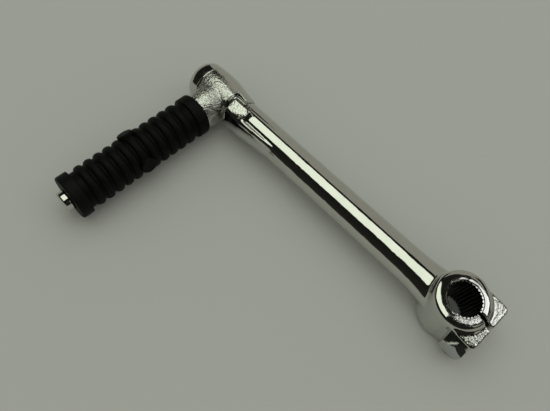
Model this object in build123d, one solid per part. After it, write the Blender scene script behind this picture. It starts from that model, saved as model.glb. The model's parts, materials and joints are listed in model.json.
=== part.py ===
from build123d import *
import os
from math import cos, radians, sin, tan

# A folding kick start lever: a forged arm that clamps on a serrated shaft, and a pedal that folds about
# the arm's own long axis. The pedal is modelled folded. Lengths are in millimetres and angles in degrees.
# The origin is the centre of the serrated bore. +X runs along the arm to its head, +Y along the folded
# pedal, and +Z is up. The bore's axis leans back from +Z, so that the arm clears the engine's covers.

# Driving dimensions of the clamp boss
boss_r = 13.5
boss_width = 22.4
boss_lean = 7.0
boss_near_round = 3.6
boss_far_round = 1.5
bore_tip_r = 7.6
bore_root_r = 8.3
bore_chamfer = 0.2
serration_count = 30
serration_tip_share = 0.40
serration_root_share = 0.22
slit_width = 1.7
lug_reach = 16.6
lug_half_width = 13.0
lug_length = 18.0
lug_corner_round = 2.4
lug_edge_round = 0.9

# Driving dimensions of the pinch bolt
bolt_r = 3.0
bolt_length = 25.0
bolt_offset = 10.7
bolt_across_flats = 10.0
bolt_head_height = 4.0
bolt_crown_angle = 30.0
bolt_tip_chamfer = 0.5
bolt_thread_clearance = 0.05
bolt_hole_clearance = 0.2

# Driving dimensions of the bar and its stop
arm_length = 155.5
bar_boss_half_width = 8.6
bar_boss_half_height = 7.5
bar_head_half_width = 8.2
bar_head_half_height = 7.6
flare_length = 36.0
flare_width = 4.7
flare_sections = 5
bar_root_round = 2.0
bar_end = 17.5
stop_gap = 2.0
stop_r = 10.2
stop_start = -40.0
stop_finish = 84.0
stop_land = 11.0
stop_ramp = 27.0
stop_facet_angle = 70.0
stop_facet_distance = 9.3
stop_flat_angle = 62.0
stop_flat_tilt = 4.0
stop_edge_chamfer = 0.6

# Driving dimensions of the spindle and what holds the knuckle on it
spindle_r = 7.5
spindle_clearance = 0.05
spindle_tip = 1.0
spindle_tip_chamfer = 0.5
washer_r = 8.7
washer_thickness = 1.0
ring_r = 8.5
ring_thickness = 1.2
ring_groove_r = 6.4
ring_gap = 34.0
ring_gap_angle = 100.0
seat_clearance = 0.05
axial_play = 0.1
cut_margin = 1.0

# Driving dimensions of the domed cap over the spindle's end
cap_r = 11.0
cap_wall = 1.2
cap_rim = 3.9
cap_dome_height = 7.0
cap_press_clearance = 0.02
spigot_length = 3.0

# Driving dimensions of the detent
ball_r = 2.5
ball_rise = 1.0
detent_x = 2.5
detent_hole_clearance = 0.1
detent_hole_below_axis = 4.0
detent_groove_clearance = 0.4
detent_groove_margin = 20.0
spring_r = 1.9
spring_wire_r = 0.35
spring_turns = 5

# Driving dimensions of the knuckle and its peg
fold_angle = 90.0
barrel_face = 9.5
barrel_end = 8.5
barrel_face_r = 9.7
barrel_r = 11.4
barrel_end_r = 11.2
tab_start = 107.0
tab_finish = 226.0
tab_root_r = 10.0
tab_tip_r = 8.9
tab_gap = 0.5
tab_edge_chamfer = 0.6
stub_r = 10.4
stub_shoulder_r = 9.4
stub_length = 17.0
stub_root_round = 1.5
peg_r = 6.0
peg_neck_r = 4.4
peg_neck_length = 5.0
peg_head_r = 5.4
peg_head_length = 3.6
peg_head_chamfer = 0.6

# Driving dimensions of the pedal rubber
rubber_length = 77.0
rubber_rib_r = 10.8
rubber_groove_r = 9.5
rubber_inner_collar_r = 10.9
rubber_outer_collar_r = 11.4
rubber_collar_length = 6.0
rubber_collar_round = 1.2
rubber_rib_count = 11
rubber_rib_share = 0.72
rubber_lip_length = 4.6
rubber_seat_gap = 0.1
button_r = 4.0
button_rise = 1.0
button_count = 3
button_angle = -79.0
button_root_depth = 1.0

# Sizes that follow from the driving dimensions
lean = radians(boss_lean)
boss_plane = Plane(origin=(0, 0, 0), x_dir=(cos(lean), 0, sin(lean)), z_dir=(-sin(lean), 0, cos(lean)))
bar_end_x = arm_length - bar_end
barrel_face_x = arm_length - barrel_face
barrel_end_x = arm_length + barrel_end
stop_end_x = barrel_face_x - stop_gap
spigot_end_x = barrel_end_x + spigot_length
washer_x = spigot_end_x + axial_play
ring_x = washer_x + washer_thickness
groove_end_x = ring_x + ring_thickness + seat_clearance
spindle_end_x = groove_end_x + spindle_tip
cap_x = barrel_end_x + seat_clearance
dome_x = cap_x + cap_rim
cap_bore_r = cap_r - cap_wall
spigot_r = cap_bore_r - cap_press_clearance
detent_centre_x = arm_length + detent_x
ball_centre_r = spindle_r + ball_rise - ball_r
detent_hole_r = ball_r + detent_hole_clearance
knuckle_bore_r = spindle_r + spindle_clearance
peg_neck_y = stub_length + rubber_length - peg_neck_length + rubber_seat_gap
peg_head_y = peg_neck_y + peg_neck_length
rubber_start_y = stub_length + rubber_seat_gap


def turned(points, axis, angle=360.0, start=0.0):
    """Turn a closed outline of (along, radius) points about the X axis or the pedal's axis."""
    if axis == "arm":
        outline = make_face(Polyline(*[(along, radius) for along, radius in points], close=True))
        return Rot(X=start) * revolve(outline, Axis.X, revolution_arc=angle)
    outline = make_face(Polyline(*[(radius, along) for along, radius in points], close=True))
    return Pos(X=arm_length) * Rot(Y=start) * revolve(outline, Axis.Y, revolution_arc=angle)


def ring_about_arm(x0, x1, inner_r, outer_r, angle=360.0, start=0.0):
    return turned([(x0, inner_r), (x1, inner_r), (x1, outer_r), (x0, outer_r)], "arm", angle, start)


# Kick arm: boss, lugs, bar, stop and spindle are one forging
def boss_block():
    disc = Cylinder(boss_r, boss_width)
    near_edge = disc.edges().filter_by(GeomType.CIRCLE).sort_by(Axis.Z)[-1]
    disc = fillet(near_edge, boss_near_round)
    disc = fillet(disc.edges().filter_by(GeomType.CIRCLE).sort_by(Axis.Z)[0], boss_far_round)
    lugs = Pos(X=-lug_reach / 2) * Box(lug_reach, 2 * lug_half_width, lug_length)
    corners = lugs.edges().filter_by(Axis.Z).group_by(Axis.X)[0]
    lugs = fillet(corners, lug_corner_round)
    rims = lugs.faces().filter_by(Axis.Z).edges()
    lugs = fillet(rims.filter_by_position(Axis.X, -lug_reach - 1, -0.01), lug_edge_round)
    return boss_plane * (disc + lugs)


def boss_cuts():
    """Serrated bore, slit and bolt hole, as one tool."""
    pitch = 360.0 / serration_count
    tip_half = pitch * serration_tip_share / 2
    root_half = pitch * serration_root_share / 2
    points = []
    for tooth in range(serration_count):
        centre = tooth * pitch
        for angle, radius in (
            (centre - tip_half, bore_tip_r),
            (centre + tip_half, bore_tip_r),
            (centre + pitch / 2 - root_half, bore_root_r),
            (centre + pitch / 2 + root_half, bore_root_r),
        ):
            points.append((radius * cos(radians(angle)), radius * sin(radians(angle))))
    serration = extrude(make_face(Polyline(*points, close=True)), boss_width, both=True)
    tips = Cylinder(bore_tip_r, 2 * boss_width)
    mouth_r = bore_root_r + bore_chamfer
    mouth = Cone(mouth_r - 2 * bore_chamfer, mouth_r + bore_chamfer, 3 * bore_chamfer)
    mouth = Pos(Z=boss_width / 2 - bore_chamfer / 2) * mouth
    slit = Pos(X=-lug_reach) * Box(2 * lug_reach, slit_width, 2 * boss_width)
    hole_r = bolt_r + bolt_hole_clearance
    thread_r = bolt_r + bolt_thread_clearance
    hole = Pos(X=-bolt_offset, Y=lug_half_width) * Rot(X=90) * Cylinder(hole_r, 2 * lug_half_width)
    thread = Pos(X=-bolt_offset) * Rot(X=90) * Cylinder(thread_r, 4 * lug_half_width)
    return boss_plane * (serration + tips + mouth + Rot(X=180) * mouth + slit + hole + thread)


def bar_section(x):
    """Half width and half height of the oval bar at a place along it, without its flare."""
    share = x / bar_end_x
    half_width = bar_boss_half_width + (bar_head_half_width - bar_boss_half_width) * share
    half_height = bar_boss_half_height + (bar_head_half_height - bar_boss_half_height) * share
    return half_width, half_height


def bar():
    """Oval tapered bar that flares sideways into the boss."""
    flare = []
    for step in range(flare_sections + 1):
        x = flare_length * step / flare_sections
        half_width, half_height = bar_section(x)
        half_width += flare_width * (1 - x / flare_length) ** 3
        flare.append(Plane.YZ.offset(x) * Ellipse(half_width, half_height))
    taper = [Plane.YZ.offset(x) * Ellipse(*bar_section(x)) for x in (flare_length, bar_end_x)]
    return loft(flare) + loft(taper)


def stop():
    """Raised sector on the bar's head end. A flat runs out along its ramp, and a facet tops its land."""
    ramp_x = stop_end_x - stop_land
    tail_x = ramp_x - stop_ramp
    core_r = spindle_r - cut_margin
    tail_r = min(bar_section(tail_x))
    outline = [
        (tail_x, core_r),
        (tail_x, tail_r),
        (ramp_x, stop_r),
        (stop_end_x - stop_edge_chamfer, stop_r),
        (stop_end_x, stop_r - stop_edge_chamfer),
        (stop_end_x, core_r),
    ]
    sector = turned(outline, "arm", stop_finish - stop_start, stop_start)
    length = stop_land + stop_ramp
    flat = Pos(ramp_x, 0, 0) * Rot(X=stop_flat_angle) * Pos(Y=stop_facet_distance) * Rot(Z=stop_flat_tilt)
    flat_waste = flat * Pos(Y=stop_r) * Box(4 * length, 2 * stop_r, 4 * stop_r)
    facet = Pos(ramp_x + length / 2, 0, 0) * Rot(X=stop_facet_angle) * Pos(Y=stop_facet_distance)
    facet_waste = facet * Pos(Y=stop_r) * Box(length, 2 * stop_r, 4 * stop_r)
    return sector - flat_waste - facet_waste


def spindle():
    """Turned end of the bar, with the snap ring's groove and the detent's radial hole."""
    root_x = bar_end_x - cut_margin
    groove_x = ring_x - seat_clearance
    outline = [
        (root_x, 0),
        (root_x, spindle_r),
        (groove_x, spindle_r),
        (groove_x, ring_groove_r),
        (groove_end_x, ring_groove_r),
        (groove_end_x, spindle_r),
        (spindle_end_x - spindle_tip_chamfer, spindle_r),
        (spindle_end_x, spindle_r - spindle_tip_chamfer),
        (spindle_end_x, 0),
    ]
    hole_top = spindle_r + cut_margin
    hole_length = hole_top + detent_hole_below_axis
    hole = Pos(detent_centre_x, 0, -hole_top + hole_length / 2) * Cylinder(detent_hole_r, hole_length)
    return turned(outline, "arm") - hole


def kick_arm():
    block = boss_block()
    rod = bar()
    body = block + rod
    body = fillet(new_edges(block, rod, combined=body), bar_root_round)
    return body + stop() + spindle() - boss_cuts()


# Pinch bolt: hexagon head on the pedal's side of the boss
def pinch_bolt():
    shank = Pos(Z=-bolt_length / 2) * Cylinder(bolt_r, bolt_length)
    shank = chamfer(shank.edges().filter_by(GeomType.CIRCLE).sort_by(Axis.Z)[0], bolt_tip_chamfer)
    corner_r = bolt_across_flats / 2 / cos(radians(30))
    head = extrude(Rot(Z=90) * RegularPolygon(corner_r, 6), bolt_head_height)
    crown_slope = tan(radians(bolt_crown_angle))
    crown_foot_r = bolt_across_flats / 2 + bolt_head_height / crown_slope
    crown = Cone(crown_foot_r, bolt_across_flats / 2, bolt_head_height)
    head = head & Pos(Z=bolt_head_height / 2) * crown
    place = boss_plane * Pos(-bolt_offset, lug_half_width, 0) * Rot(X=-90)
    return place * (head + shank)


# Thrust washer and snap ring on the spindle
def thrust_washer():
    return ring_about_arm(washer_x, ring_x, knuckle_bore_r, washer_r)


def snap_ring():
    inner_r = ring_groove_r + seat_clearance
    start = ring_gap_angle + ring_gap / 2
    return ring_about_arm(ring_x, ring_x + ring_thickness, inner_r, ring_r, 360 - ring_gap, start)


# Domed cap: pressed over the knuckle's spigot, it covers the spindle's end, the washer and the ring
def dome_cap():
    with BuildPart() as shell:
        with BuildSketch(Plane.XY):
            with BuildLine():
                EllipticalCenterArc((dome_x, 0), cap_dome_height, cap_r, 0, arc_size=90)
                Polyline((dome_x, cap_r), (cap_x, cap_r), (cap_x, cap_bore_r), (dome_x, cap_bore_r))
                EllipticalCenterArc((dome_x, 0), cap_dome_height - cap_wall, cap_bore_r, 0, arc_size=90)
                Line((dome_x + cap_dome_height - cap_wall, 0), (dome_x + cap_dome_height, 0))
            make_face()
        revolve(axis=Axis.X)
    return shell.part


# Detent: a ball and its spring in the spindle's radial hole
def detent_ball():
    return Pos(detent_centre_x, 0, -ball_centre_r) * Sphere(ball_r)


def detent_spring():
    bottom = -(ball_centre_r - ball_r) + seat_clearance + spring_wire_r
    top = detent_hole_below_axis - seat_clearance - spring_wire_r
    path = Helix((top - bottom) / spring_turns, top - bottom, spring_r)
    section = Plane(origin=path @ 0, z_dir=path % 0) * Circle(spring_wire_r)
    return Pos(detent_centre_x, 0, bottom) * sweep(section, path)


# Pedal knuckle: barrel, stop tab, stub and peg are one forging
def barrel():
    with BuildPart() as shell:
        with BuildSketch(Plane.XY):
            with BuildLine():
                Polyline(
                    (barrel_end_x, barrel_end_r),
                    (barrel_end_x, spigot_r),
                    (spigot_end_x, spigot_r),
                    (spigot_end_x, 0),
                    (barrel_face_x, 0),
                    (barrel_face_x, barrel_face_r),
                )
                ThreePointArc(
                    (barrel_face_x, barrel_face_r), (arm_length, barrel_r), (barrel_end_x, barrel_end_r)
                )
            make_face()
        revolve(axis=Axis.X)
    return shell.part


def tab():
    tip_x = bar_end_x + tab_gap
    root_x = arm_length
    outline = [
        (tip_x, 0),
        (tip_x, tab_tip_r - tab_edge_chamfer),
        (tip_x + tab_edge_chamfer, tab_tip_r),
        (barrel_face_x, tab_root_r),
        (root_x, tab_root_r),
        (root_x, 0),
    ]
    return turned(outline, "arm", tab_finish - tab_start, tab_start)


def peg():
    end_y = peg_head_y + peg_head_length
    outline = [
        (0, 0),
        (0, peg_r),
        (peg_neck_y - (peg_r - peg_neck_r), peg_r),
        (peg_neck_y, peg_neck_r),
        (peg_head_y, peg_neck_r),
        (peg_head_y, peg_head_r),
        (end_y - peg_head_chamfer, peg_head_r),
        (end_y, peg_head_r - peg_head_chamfer),
        (end_y, 0),
    ]
    return turned(outline, "pedal")


def pedal_knuckle():
    outline = [(0, 0), (0, stub_r), (barrel_r, stub_r), (stub_length, stub_shoulder_r), (stub_length, 0)]
    width = barrel_face + barrel_end
    flanks = Pos(barrel_face_x + width / 2, stub_length / 2, 0) * Box(width, 2 * stub_length, 4 * stub_r)
    stub = turned(outline, "pedal") & flanks
    shell = barrel()
    body = shell + stub
    body = fillet(new_edges(shell, stub, combined=body), stub_root_round)
    bore = ring_about_arm(bar_end_x - cut_margin, spigot_end_x + cut_margin, 0, knuckle_bore_r)
    groove_half = detent_hole_r
    groove_r = spindle_r + ball_rise + detent_groove_clearance
    groove = ring_about_arm(
        detent_centre_x - groove_half,
        detent_centre_x + groove_half,
        0,
        groove_r,
        fold_angle + 2 * detent_groove_margin,
        270 - fold_angle - detent_groove_margin,
    )
    return body + tab() + peg() - bore - groove


# Pedal rubber: one moulding that is pushed over the peg's head
def pedal_rubber():
    end_y = rubber_start_y + rubber_length
    lip_y = end_y - rubber_lip_length
    first_y = rubber_start_y + rubber_collar_length
    last_y = end_y - rubber_collar_length
    pitch = (last_y - first_y) / (rubber_rib_count + 1)
    rib_half = pitch * rubber_rib_share / 2
    with BuildPart() as sleeve:
        with BuildSketch(Plane.XY):
            with BuildLine():
                Polyline(
                    (rubber_groove_r, first_y),
                    (rubber_inner_collar_r, first_y),
                    (rubber_inner_collar_r, rubber_start_y + rubber_collar_round),
                    (rubber_inner_collar_r - rubber_collar_round, rubber_start_y),
                    (peg_r, rubber_start_y),
                    (peg_r, lip_y - (peg_r - peg_neck_r)),
                    (peg_neck_r, lip_y),
                    (peg_neck_r, end_y),
                    (rubber_outer_collar_r - rubber_collar_round, end_y),
                    (rubber_outer_collar_r, end_y - rubber_collar_round),
                    (rubber_outer_collar_r, last_y),
                    (rubber_groove_r, last_y),
                )
                previous = (rubber_groove_r, last_y)
                for rib in reversed(range(rubber_rib_count)):
                    centre = first_y + (rib + 1) * pitch
                    foot = (rubber_groove_r, centre + rib_half)
                    Line(previous, foot)
                    ThreePointArc(foot, (rubber_rib_r, centre), (rubber_groove_r, centre - rib_half))
                    previous = (rubber_groove_r, centre - rib_half)
                Line(previous, (rubber_groove_r, first_y))
            make_face()
        revolve(axis=Axis.Y)
    middle_y = (first_y + last_y) / 2
    button_foot_r = rubber_groove_r - button_root_depth
    button_height = rubber_rib_r + button_rise - button_foot_r
    button = Pos(0, middle_y, button_foot_r + button_height / 2) * Cylinder(button_r, button_height)
    result = sleeve.part
    for index in range(button_count):
        result += Rot(Y=button_angle + index * 360 / button_count) * button
    return Pos(X=arm_length) * result


os.makedirs("parts", exist_ok=True)
export_step(kick_arm(), "parts/kick_arm.step")
export_step(pinch_bolt(), "parts/pinch_bolt.step")
export_step(thrust_washer(), "parts/thrust_washer.step")
export_step(snap_ring(), "parts/snap_ring.step")
export_step(dome_cap(), "parts/dome_cap.step")
export_step(detent_ball(), "parts/detent_ball.step")
export_step(detent_spring(), "parts/detent_spring.step")
export_step(pedal_knuckle(), "parts/pedal_knuckle.step")
export_step(pedal_rubber(), "parts/pedal_rubber.step")
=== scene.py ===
import json
import math

import bmesh
import bpy
from mathutils import Matrix, Vector, noise


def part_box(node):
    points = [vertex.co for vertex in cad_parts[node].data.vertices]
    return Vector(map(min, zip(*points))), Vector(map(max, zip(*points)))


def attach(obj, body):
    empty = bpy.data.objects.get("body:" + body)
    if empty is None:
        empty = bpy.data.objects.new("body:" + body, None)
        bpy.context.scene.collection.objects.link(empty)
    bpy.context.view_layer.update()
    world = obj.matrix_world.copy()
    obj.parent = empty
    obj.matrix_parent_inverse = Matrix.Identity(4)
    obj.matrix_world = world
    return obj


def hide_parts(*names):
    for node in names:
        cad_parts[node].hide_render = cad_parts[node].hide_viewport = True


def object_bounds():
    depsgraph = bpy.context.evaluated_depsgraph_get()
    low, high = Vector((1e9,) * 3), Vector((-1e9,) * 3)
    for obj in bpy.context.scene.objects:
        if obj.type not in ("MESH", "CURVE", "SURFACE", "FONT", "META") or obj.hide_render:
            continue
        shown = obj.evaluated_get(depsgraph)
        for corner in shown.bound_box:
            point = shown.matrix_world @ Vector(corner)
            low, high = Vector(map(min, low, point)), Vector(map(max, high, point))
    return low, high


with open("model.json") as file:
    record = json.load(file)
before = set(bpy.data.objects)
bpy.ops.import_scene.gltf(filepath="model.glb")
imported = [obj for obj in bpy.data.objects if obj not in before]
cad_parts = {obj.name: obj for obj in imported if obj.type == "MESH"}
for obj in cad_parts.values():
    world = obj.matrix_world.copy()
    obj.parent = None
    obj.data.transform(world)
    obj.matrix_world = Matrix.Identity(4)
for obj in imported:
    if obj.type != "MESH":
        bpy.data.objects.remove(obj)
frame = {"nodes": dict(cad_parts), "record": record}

cad_low, cad_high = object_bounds()

# Kick arm
# One steel forging: the split clamp boss, the oval bar, the folding stop and the turned spindle. It was
# forged, ground, buffed and chrome plated, so its edges are soft, and the lugs keep the forging's skin.
MM = 0.001
ARM_VOXEL = 0.4 * MM
ARM_SMOOTHING = 5
MERGE_DISTANCE = 0.002 * MM
CREASE_ANGLE = math.radians(38)
BOSS_WIDTH = 22.4 * MM
BORE_PLUG_RADIUS = 8.75 * MM
BUFFING_WAVE = 14.0 * MM
BUFFING_DEPTH = 0.045 * MM
SKIN_LAYER = "forging_skin"
SKIN_GRAIN = 1.6 * MM
SKIN_DEPTH = 0.09 * MM
SKIN_FALLOFF = 1.0
SKIN_LACUNARITY = 2.2
SKIN_OCTAVES = 3

bore = next(m for m in frame["record"]["mounts"] if m["name"] == "serrated_bore")
bore_axis = Vector(bore["axis"]).normalized()
bore_lean = math.atan2(-bore_axis.x, bore_axis.z)
to_bore = Matrix.Rotation(bore_lean, 4, "Y")
from_bore = to_bore.inverted()


def linear(hex_colour):
    """The linear colour that a shader takes, from an sRGB hex value."""
    channels = [int(hex_colour[i:i + 2], 16) / 255 for i in (1, 3, 5)]
    return [c / 12.92 if c <= 0.04045 else ((c + 0.055) / 1.055) ** 2.4 for c in channels] + [1.0]


def add(tree, kind, inputs=None, **settings):
    """Adds a node with its settings, and feeds its inputs with values or with other nodes' sockets."""
    made = tree.nodes.new(kind)
    for name, value in settings.items():
        setattr(made, name, value)
    for key, value in (inputs or {}).items():
        if isinstance(value, bpy.types.NodeSocket):
            tree.links.new(value, made.inputs[key])
        else:
            made.inputs[key].default_value = value
    return made


def surface(name):
    """An empty material with its shader, and the tree that the section then fills."""
    material = bpy.data.materials.new(name)
    material.use_nodes = True
    return material, material.node_tree, material.node_tree.nodes["Principled BSDF"]


def new_piece(name, mesh):
    piece = bpy.data.objects.new(name, mesh)
    bpy.context.scene.collection.objects.link(piece)
    return piece


def merged_copy(name, node):
    """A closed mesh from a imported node, whose own triangles lie loose."""
    mesh = frame["nodes"][node].data.copy()
    mesh.name = name
    mesh.materials.clear()
    edit = bmesh.new()
    edit.from_mesh(mesh)
    bmesh.ops.remove_doubles(edit, verts=edit.verts[:], dist=MERGE_DISTANCE)
    edit.to_mesh(mesh)
    edit.free()
    return new_piece(name, mesh)


def bake(piece):
    """Makes what the modifiers give the piece's own mesh, and takes the modifiers off."""
    graph = bpy.context.evaluated_depsgraph_get()
    baked = bpy.data.meshes.new_from_object(piece.evaluated_get(graph))
    baked.name = piece.name
    piece.modifiers.clear()
    piece.data = baked


def forge(piece, voxel):
    """Gives the piece an even mesh, fine enough to be ground and buffed."""
    remesh = piece.modifiers.new("forging", "REMESH")
    remesh.mode = "VOXEL"
    remesh.voxel_size = voxel
    bake(piece)


def buff(piece, rounds):
    """Turns machined edges into the soft ones of a buffed forging."""
    smooth = piece.modifiers.new("buffing", "SMOOTH")
    smooth.factor = 0.5
    smooth.iterations = rounds
    bake(piece)


def ramp(value, low, high):
    """0 below low, 1 above high, and smooth between them."""
    t = min(1.0, max(0.0, (value - low) / (high - low)))
    return t * t * (3 - 2 * t)


def lay_skin(piece, rough_share):
    """Moves the surface along its normals: a slow wave from the buff, and grain where the skin was left."""
    mesh = piece.data
    normals = [v.normal.copy() for v in mesh.vertices]
    shares = []
    for vertex, normal in zip(mesh.vertices, normals):
        place = vertex.co
        depth = BUFFING_DEPTH * noise.noise(place / BUFFING_WAVE)
        share = rough_share(place)
        if share > 0:
            grain = noise.fractal(place / SKIN_GRAIN, SKIN_FALLOFF, SKIN_LACUNARITY, SKIN_OCTAVES)
            depth += share * SKIN_DEPTH * grain
        vertex.co = place + depth * normal
        shares.append(share)
    mesh.attributes.new(SKIN_LAYER, "FLOAT", "POINT").data.foreach_set("value", shares)
    mesh.update()


def shade_soft(piece):
    piece.data.shade_smooth()
    piece.data.set_sharp_from_angle(angle=CREASE_ANGLE)


def geometry_tree(name, sizes):
    """A geometry tree with one named input for each size."""
    tree = bpy.data.node_groups.new(name, "GeometryNodeTree")
    tree.interface.new_socket("Geometry", in_out="INPUT", socket_type="NodeSocketGeometry")
    for label, value in sizes.items():
        kind = "NodeSocketInt" if isinstance(value, int) else "NodeSocketFloat"
        tree.interface.new_socket(label, in_out="INPUT", socket_type=kind)
    tree.interface.new_socket("Geometry", in_out="OUTPUT", socket_type="NodeSocketGeometry")
    return tree, add(tree, "NodeGroupInput").outputs


def grow(piece, tree, sizes):
    """Runs a geometry tree on the piece with these sizes, and keeps the mesh that it makes."""
    modifier = piece.modifiers.new(tree.name, "NODES")
    modifier.node_group = tree
    for item in tree.interface.items_tree:
        if item.item_type == "SOCKET" and item.in_out == "INPUT" and item.name in sizes:
            modifier[item.identifier] = sizes[item.name]
    bake(piece)


def fix(piece, node, body):
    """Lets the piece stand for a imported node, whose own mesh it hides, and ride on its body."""
    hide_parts(node)
    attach(piece, body)


# Chrome plate over steel: a bright mirror with faint buffing haze 6 mm across, and a broken sparkle where
# it lies on the forging's own skin, whose pits are about 1 mm across. The knuckle was blasted before it was
# plated, so its skin is finer and duller than the boss's.
CHROMES = {
    "buffed_chrome_plate": {"pit": 1.0 * MM, "relief": 0.36 * MM, "smoothest": 0.12, "roughest": 0.28},
    "blasted_chrome_plate": {"pit": 0.9 * MM, "relief": 0.36 * MM, "smoothest": 0.16, "roughest": 0.38},
}
chromes = []
for name, look in CHROMES.items():
    material, tree, shader = surface(name)
    place = add(tree, "ShaderNodeTexCoord").outputs["Object"]
    skin = add(tree, "ShaderNodeAttribute", attribute_name=SKIN_LAYER).outputs["Fac"]
    haze = add(
        tree, "ShaderNodeTexNoise", {"Vector": place, "Scale": 1 / (6.0 * MM), "Detail": 4.0}
    ).outputs["Fac"]
    pits = add(
        tree, "ShaderNodeTexNoise", {"Vector": place, "Scale": 1 / look["pit"], "Detail": 2.5}
    ).outputs["Fac"]
    buffed = add(
        tree, "ShaderNodeMapRange", {"Value": haze, "To Min": 0.03, "To Max": 0.09}
    ).outputs["Result"]
    pitted = add(
        tree, "ShaderNodeMapRange", {"Value": pits, "To Min": look["smoothest"], "To Max": look["roughest"]}
    ).outputs["Result"]
    rough = add(tree, "ShaderNodeMix", {"Factor": skin, "A": buffed, "B": pitted}, data_type="FLOAT")
    tint = add(tree, "ShaderNodeMix", {"Factor": haze}, data_type="RGBA")
    tint.inputs["A"].default_value = linear("#d2d3ce")
    tint.inputs["B"].default_value = linear("#c6c7c2")
    pitting = add(tree, "ShaderNodeBump", {"Strength": skin, "Distance": look["relief"], "Height": pits})
    shader.inputs["Metallic"].default_value = 1.0
    tree.links.new(rough.outputs["Result"], shader.inputs["Roughness"])
    tree.links.new(tint.outputs["Result"], shader.inputs["Base Color"])
    tree.links.new(pitting.outputs["Normal"], shader.inputs["Normal"])
    chromes.append(material)
chrome, blasted_chrome = chromes

# Bare steel in the broached bore and the slit, where the plate hardly reaches it. Its colour, far darker
# than steel, is painted shade for the deep bore and slit, with random stains.
shade_darkened_steel, tree, shader = surface("oiled_bare_steel")
place = add(tree, "ShaderNodeTexCoord").outputs["Object"]
stain = add(
    tree, "ShaderNodeTexNoise", {"Vector": place, "Scale": 1 / (2.5 * MM), "Detail": 3.0}
).outputs["Fac"]
tint = add(tree, "ShaderNodeMix", {"Factor": stain}, data_type="RGBA")
tint.inputs["A"].default_value = linear("#2a2928")
tint.inputs["B"].default_value = linear("#4b4a48")
shader.inputs["Metallic"].default_value = 1.0
shader.inputs["Roughness"].default_value = 0.34
tree.links.new(tint.outputs["Result"], shader.inputs["Base Color"])

arm = merged_copy("chromed_kick_arm", "kick_arm")
fill = bmesh.new()
fill.from_mesh(arm.data)
bmesh.ops.create_cone(
    fill,
    cap_ends=True,
    segments=64,
    radius1=BORE_PLUG_RADIUS,
    radius2=BORE_PLUG_RADIUS,
    depth=BOSS_WIDTH,
    matrix=from_bore,
)
fill.to_mesh(arm.data)
fill.free()
forge(arm, ARM_VOXEL)

# Grinding takes the ramp's upper flank back to the oval bar, which leaves a ridge along the ramp
BAR_HALF_WIDTH = 8.24 * MM
BAR_HALF_HEIGHT = 7.57 * MM
RIDGE_ANGLE = math.radians(46)
RIDGE_WIDTH = math.radians(3)
RAMP_TAIL = 102.0 * MM
RAMP_HEAD = 130.0 * MM
RAMP_END_WIDTH = 3.0 * MM
FLANK_FAR_SIDE = -2.0 * MM


def flank_ground(place):
    """How far a point of the ramp's upper flank goes back to the bar."""
    around = math.atan2(place.z, place.y)
    outwards = Vector((0, math.cos(around), math.sin(around)))
    bar = 1 / math.hypot(outwards.y / BAR_HALF_WIDTH, outwards.z / BAR_HALF_HEIGHT)
    share = ramp(around, RIDGE_ANGLE, RIDGE_ANGLE + RIDGE_WIDTH)
    share *= 1 - ramp(place.x, RAMP_HEAD, RAMP_HEAD + RAMP_END_WIDTH)
    return -share * max(0.0, math.hypot(place.y, place.z) - bar) * outwards


for vertex in arm.data.vertices:
    place = vertex.co.copy()
    if RAMP_TAIL < place.x < RAMP_HEAD + RAMP_END_WIDTH and place.z > 0 and place.y > FLANK_FAR_SIDE:
        vertex.co = place + flank_ground(place)

# The press filled the boss's shoulder better on the bar's side, so the ring's face is wider there
BOSS_RADIUS = 13.5 * MM
BOSS_ROUND = 3.6 * MM
SHOULDER_POWER = 3.4
SHOULDER_FILL = (-7.0 * MM, 2.0 * MM)


def shoulder_filled(place):
    """How far a point of the boss's round shoulder comes out, towards a squarer one on the bar's side."""
    local = to_bore @ place
    across = math.hypot(local.x, local.y)
    out = across - (BOSS_RADIUS - BOSS_ROUND)
    rise = local.z - (BOSS_WIDTH / 2 - BOSS_ROUND)
    if out <= 0 or rise <= 0 or math.hypot(out, rise) > BOSS_ROUND + ARM_VOXEL:
        return Vector()
    turn = math.atan2(rise, out)
    sides = math.cos(turn) ** SHOULDER_POWER + math.sin(turn) ** SHOULDER_POWER
    squarer = sides ** (-1 / SHOULDER_POWER)
    growth = (squarer - 1) * ramp(local.x, *SHOULDER_FILL)
    outwards = Vector((local.x / across * out, local.y / across * out, rise))
    return from_bore @ (growth * outwards)


# The lug under the bolt's head has the forging die's draft, so its face falls away from the slit
LUG_SIDE = (5.0 * MM, 7.5 * MM)
LUG_DRAFT = math.tan(math.radians(4))
LUG_START = (5.0 * MM, 8.0 * MM)
LUG_CORNER = 1.0 * MM


def lug_drafted(place):
    """How far a point of that lug's face drops."""
    local = to_bore @ place
    share = ramp(math.hypot(local.x, local.y), BOSS_RADIUS, BOSS_RADIUS + LUG_CORNER)
    share *= ramp(-local.x, *LUG_START) * ramp(local.z, *LUG_SIDE)
    return from_bore @ Vector((0, 0, -share * LUG_DRAFT * max(0.0, local.y)))


for vertex in arm.data.vertices:
    place = vertex.co.copy()
    if place.x < BOSS_RADIUS:
        vertex.co = place + shoulder_filled(place) + lug_drafted(place)
buff(arm, ARM_SMOOTHING)

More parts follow.
